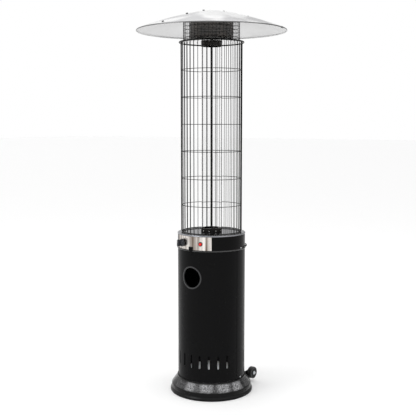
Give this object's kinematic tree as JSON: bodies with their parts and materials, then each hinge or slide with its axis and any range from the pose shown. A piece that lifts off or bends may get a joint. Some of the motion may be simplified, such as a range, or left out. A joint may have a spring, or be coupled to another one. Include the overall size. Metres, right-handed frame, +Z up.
{
  "type": "patio heater",
  "caption": "Free-standing gas patio heater: glass flame tube in a round wire guard, domed reflector, round bottle housing with door, knob and transport wheels.",
  "frame": {"origin": "centre of the base ring on the floor, under the reflector's middle", "axes": "+Z up, -Y towards the control panel and door, +X to the right seen from behind the heater facing its front"},
  "size_m": [0.738, 0.738, 1.9],
  "materials": {
    "black_gloss": "gloss black powder coat",
    "black_wire": "satin black paint on steel wire",
    "black_plastic": "satin black moulded plastic",
    "bracket_black": "satin black paint",
    "trim_grey": "satin grey moulded trim",
    "galvanised": "zinc-plated steel",
    "cast_weight": "rough casting",
    "brushed_panel": "brushed stainless steel",
    "polished_steel": "mirror-polished stainless steel",
    "brass": "machined brass",
    "dark_steel": "heat-darkened steel",
    "glass": "clear quartz glass",
    "red_plastic": "gloss red moulded plastic"
  },
  "bodies": {
    "heater": {"base_ring": "black_gloss", "wheel_bracket_left": "black_gloss", "wheel_bracket_right": "black_gloss", "back_shell": "black_gloss", "hinge_lower": "black_gloss", "hinge_upper": "black_gloss", "control_collar": "black_gloss", "rear_handle": "black_gloss", "guard_bottom_ring": "black_wire", "guard_top_ring": "black_wire", "mesh_cage_1": "black_wire", "mesh_cage_2": "black_wire", "mesh_cage_3": "black_wire", "mesh_cage_4": "black_wire", "guard_post_1": "black_wire", "guard_post_2": "black_wire", "guard_post_3": "black_wire", "guard_post_4": "black_wire", "guard_panel_1": "black_wire", "guard_panel_2": "black_wire", "guard_panel_3": "black_wire", "guard_panel_4": "black_wire", "magnet_catch": "black_plastic", "door_catch": "black_plastic", "igniter_body": "black_plastic", "igniter_bezel": "black_plastic", "tilt_switch": "black_plastic", "ballast_bracket_1": "bracket_black", "ballast_bracket_2": "bracket_black", "ballast_bracket_3": "bracket_black", "ballast_bracket_4": "bracket_black", "bottle_tray": "galvanised", "wheel_bolt_left": "galvanised", "wheel_bolt_right": "galvanised", "bay_ceiling": "galvanised", "valve_bracket": "galvanised", "ballast_disc": "cast_weight", "control_panel": "brushed_panel", "pilot_assembly": "brushed_panel", "top_plate": "polished_steel", "support_plate": "polished_steel", "reflector_panel_1": "polished_steel", "reflector_panel_2": "polished_steel", "reflector_panel_3": "polished_steel", "gas_valve": "brass", "gas_inlet": "brass", "burner_pipe": "brass", "burner_head": "dark_steel", "tube_seat": "dark_steel", "tube_top_ring": "dark_steel", "emitter_drum": "dark_steel", "drum_lid": "dark_steel", "glass_tube": "glass"},
    "door": {"front_door": "black_gloss", "hand_hole_trim": "trim_grey"},
    "spindle": {"valve_spindle": "brass"},
    "knob": {"control_knob": "black_plastic"},
    "button": {"igniter_button": "red_plastic"},
    "wheel_left_body": {"wheel_left": "black_plastic"},
    "wheel_right_body": {"wheel_right": "black_plastic"}
  },
  "joints": [
    {"name": "door_hinge", "type": "hinge", "parent": "heater", "child": "door", "pos_m": [-0.17344, -0.01731, 0.4], "axis": [0, 0, -1], "range_deg": [0, 110]},
    {"name": "spindle_turn", "type": "hinge", "parent": "heater", "child": "spindle", "pos_m": [-0.05212, -0.16234, 0.771], "axis": [-0.3057, -0.9521, 0], "range_deg": [0, 170]},
    {"name": "knob_push", "type": "slide", "parent": "spindle", "child": "knob", "axis": [0.3057, 0.9521, 0], "range_m": [0, 0.004], "stiffness_N_per_m": 900, "springref_m": -0.003},
    {"name": "button_push", "type": "slide", "parent": "heater", "child": "button", "axis": [-0.304, 0.9527, 0], "range_m": [0, 0.004], "stiffness_N_per_m": 600, "springref_m": -0.002},
    {"name": "wheel_left_spin", "type": "hinge", "parent": "heater", "child": "wheel_left_body", "pos_m": [-0.113, 0.208, 0.047], "axis": [1, 0, 0], "continuous": true},
    {"name": "wheel_right_spin", "type": "hinge", "parent": "heater", "child": "wheel_right_body", "pos_m": [0.113, 0.208, 0.047], "axis": [1, 0, 0], "continuous": true}
  ]
}
